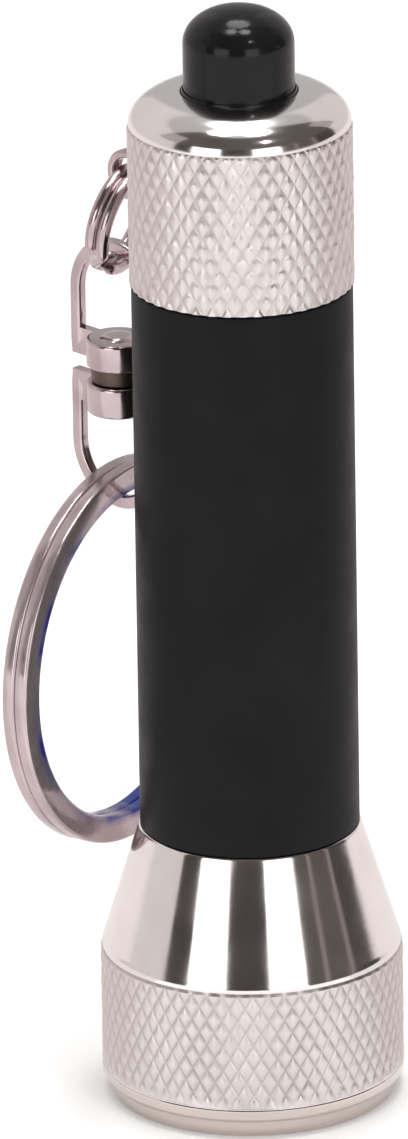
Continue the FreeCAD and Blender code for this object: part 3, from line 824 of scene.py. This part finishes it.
def rivet():
    low = RIVET_LOW.z
    high = RIVET_HIGH.z
    dome = [(0, 0), (RIVET_HEAD_R * 0.5, 0.07), (RIVET_HEAD_R * 0.85, 0.19)]
    dome.append((RIVET_HEAD_R, RIVET_HEAD))
    outline = [(r, low + z) for r, z in dome]
    outline += [(RIVET_R, low + RIVET_HEAD), (RIVET_R, high - RIVET_HEAD)]
    outline += [(r, high - z) for r, z in dome[::-1]]
    bm = shift(lathe(outline, 48), CHAIN_X)
    pin = finish_mesh("swivel_rivet_domed", bm, NICKEL)
    place(pin, "upper_link", "nickel_plate", "swivel_rivet")

    outer = WASHER_HIGH.x - CHAIN_X - 0.1
    low = WASHER_LOW.z
    high = WASHER_HIGH.z
    outline = [(RIVET_R, low), (outer, low), (outer, high), (RIVET_R, high)]
    bm = shift(lathe(rounded(outline, 0.1), 48), CHAIN_X)
    washer = finish_mesh("swivel_washer_ring", bm, WASHER_PAINTED_SHADE)
    place(washer, "upper_link", "nickel_plate", "swivel_washer")


# ------------------------------------------------------------------ carried-over CAD nodes
NODE_MATERIALS = {
    "lens_retaining_ring": ALUMINIUM,
    "front_lens": LENS,
    "lens_gasket": SEAL_RUBBER,
    "reflector": MIRROR,
    "led_holder": BLACK_PLASTIC,
    "led_emitter": EPOXY,
    "led_leads": STEEL,
    "driver_board": BOARD,
    "boost_inductor": FERRITE,
    "boost_chip": BLACK_PLASTIC,
    "smoothing_capacitor": CERAMIC,
    "front_contact": BRASS,
    "battery_cell": STEEL,
    "battery_terminal": STEEL,
    "battery_jacket": WRAP,
    "tail_spring": STEEL,
    "switch_housing": BLACK_PLASTIC,
    "switch_plunger": WHITE_PLASTIC,
    "switch_contact": BRASS,
    "switch_retaining_ring": BRASS,
    "plunger_spring": STEEL,
}


def finish_cad_nodes():
    for node, material in NODE_MATERIALS.items():
        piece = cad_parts[node]
        for slot in piece.material_slots:
            slot.material = material


# ------------------------------------------------------------------ studio
VIEW_AZIMUTH = 45.0
VIEW_ELEVATION = 20.5
VIEW_ROLL = 0.9
VIEW_DISTANCE = 1.15
VIEW_HEIGHT = 0.07474
SENSOR = 36.0
CARD_DISTANCE = 0.8


def stage_material(name, colour, emission=0.0, glow=None):
    s = Shader(name, Roughness=0.9, Specular_IOR_Level=0.1)
    s.colour(s.ramp(s.noise(3, 2), [(0.3, tuple(c * 0.985 for c in colour)), (0.7, colour)]))
    if emission:
        s.bsdf.inputs["Emission Color"].default_value = (*(glow or colour), 1)
        s.bsdf.inputs["Emission Strength"].default_value = emission
    return s.material


def card(name, start, end, low, high, material):
    """A curved card round the object, between two azimuths measured from the camera's side,
    positive to the camera's right."""
    bm = bmesh.new()
    steps = max(2, round((end - start) / 6))
    edge = []
    for k in range(steps + 1):
        turn = math.radians(VIEW_AZIMUTH + start + (end - start) * k / steps)
        x = CARD_DISTANCE * math.sin(turn)
        y = -CARD_DISTANCE * math.cos(turn)
        edge.append((bm.verts.new((x, y, low)), bm.verts.new((x, y, high))))
    for (a, b), (c, d) in zip(edge, edge[1:]):
        bm.faces.new((a, c, d, b))
    stage_card(name, bm, material)


def stage_card(name, bm, material):
    """A stage piece that only reflections see. The softboxes also light the object."""
    mesh = bpy.data.meshes.new(name)
    bm.to_mesh(mesh)
    bm.free()
    mesh.materials.append(material)
    piece = bpy.data.objects.new(name, mesh)
    bpy.context.scene.collection.objects.link(piece)
    piece.visible_camera = False
    piece.visible_shadow = False
    piece.visible_diffuse = material.name == "softbox"


def floor_card(name, start, end, inner, outer, material):
    """A flat card just above the floor, between two azimuths and two radii."""
    bm = bmesh.new()
    steps = round((end - start) / 6)
    edge = []
    for k in range(steps + 1):
        turn = math.radians(VIEW_AZIMUTH + start + (end - start) * k / steps)
        way = Vector((math.sin(turn), -math.cos(turn), 0))
        edge.append([bm.verts.new(way * r + Vector((0, 0, 0.0003))) for r in (inner, outer)])
    for (a, b), (c, d) in zip(edge, edge[1:]):
        bm.faces.new((a, b, d, c))
    stage_card(name, bm, material)


def area_light(name, azimuth, elevation, distance, size, power):
    data = bpy.data.lights.new(name, "AREA")
    data.shape = "DISK"
    data.size = size
    data.energy = power
    light = bpy.data.objects.new(name, data)
    a = math.radians(VIEW_AZIMUTH + azimuth)
    e = math.radians(elevation)
    way = Vector((math.sin(a) * math.cos(e), -math.cos(a) * math.cos(e), math.sin(e)))
    light.location = way * distance + Vector((0, 0, 0.04))
    light.rotation_mode = "QUATERNION"
    light.rotation_quaternion = way.to_track_quat("Z", "Y")
    light.visible_camera = False
    bpy.context.scene.collection.objects.link(light)


def studio():
    bm = bmesh.new()
    bmesh.ops.create_grid(bm, x_segments=1, y_segments=1, size=15)
    mesh = bpy.data.meshes.new("floor")
    bm.to_mesh(mesh)
    bm.free()
    mesh.materials.append(stage_material("floor_paper", (0.9, 0.9, 0.9), 0.16))
    floor = bpy.data.objects.new("floor", mesh)
    bpy.context.scene.collection.objects.link(floor)

    world = bpy.data.worlds.new("studio")
    world.use_nodes = True
    world.node_tree.nodes["Background"].inputs[0].default_value = (0.95, 0.93, 0.92, 1)
    world.node_tree.nodes["Background"].inputs[1].default_value = 0.55
    bpy.context.scene.world = world

    dark = stage_material("dark_card", (0.01, 0.01, 0.01), 0.055, (1.0, 0.86, 0.80))
    brown = stage_material("brown_card", (0.01, 0.01, 0.01), 0.10, (1.0, 0.85, 0.78))
    stripe = stage_material("stripe_card", (0.01, 0.01, 0.01), 0.27, (1.0, 0.86, 0.82))
    pale = stage_material("pale_card", (0.1, 0.1, 0.1), 0.62, (1.0, 0.93, 0.92))
    paper = stage_material("back_paper", (0.1, 0.1, 0.1), 0.82, (1.0, 0.93, 0.92))
    white = stage_material("softbox", (1.0, 1.0, 1.0), 1.1)
    card("left_pale", -165, -70, 0.0, 0.9, pale)
    card("left_flag", -70, -50, 0.0, 0.4, dark)
    card("left_softbox", -50, -20, 0.0, 0.4, white)
    card("camera_flag", -20, 13, 0.0, 0.4, dark)
    card("right_softbox", 13, 42, 0.0, 0.4, white)
    card("right_flag_a", 42, 57, 0.0, 0.4, brown)
    card("right_stripe_a", 57, 61, 0.0, 0.4, stripe)
    card("right_flag_b", 61, 80, 0.0, 0.4, brown)
    card("right_stripe_b", 80, 84, 0.0, 0.4, stripe)
    card("right_flag_c", 84, 112, 0.0, 0.4, dark)
    card("right_pale", 112, 165, 0.0, 0.9, pale)
    card("front_dark", -95, 125, 0.4, 2.5, brown)
    floor_card("back_paper", 70, 290, 0.014, CARD_DISTANCE, paper)
    area_light("overhead", 180, 72, 1.2, 0.5, 4.5)
    area_light("left_top", -75, 80, 1.3, 0.34, 3.2)
    area_light("right_top", 65, 80, 1.3, 0.34, 3.4)
    area_light("spark", 34, 50, 1.0, 0.07, 0.5)
    bpy.context.scene.view_settings.view_transform = "Standard"


def camera():
    data = bpy.data.cameras.new("camera")
    data.sensor_fit = "VERTICAL"
    data.sensor_height = SENSOR
    data.sensor_width = SENSOR
    data.lens = VIEW_DISTANCE * SENSOR / VIEW_HEIGHT
    data.clip_start = 0.1
    data.clip_end = 60
    cam = bpy.data.objects.new("camera", data)
    bpy.context.scene.collection.objects.link(cam)
    a = math.radians(VIEW_AZIMUTH)
    e = math.radians(VIEW_ELEVATION)
    back = Vector((math.sin(a) * math.cos(e), -math.cos(a) * math.cos(e), math.sin(e)))
    right = Vector((math.cos(a), math.sin(a), 0))
    target = Vector((0, 0, 0.03643)) - right * 0.00277
    cam.location = target + back * VIEW_DISTANCE
    cam.rotation_mode = "QUATERNION"
    roll = Quaternion((0, 0, 1), math.radians(-VIEW_ROLL))
    cam.rotation_quaternion = (-back).to_track_quat("-Z", "Y") @ roll
    bpy.context.scene.camera = cam


head()
barrel()
cap()
button()
lug()
small_ring()
yoke("upper_yoke_strap", UPPER_LOW, UPPER_HIGH, UPPER_DRUM, 1, "upper_link", "upper_yoke")
yoke("lower_yoke_strap", LOWER_LOW, LOWER_HIGH, LOWER_DRUM, -1, "lower_link", "lower_yoke")
rivet()
key_ring()
finish_cad_nodes()
studio()
camera()
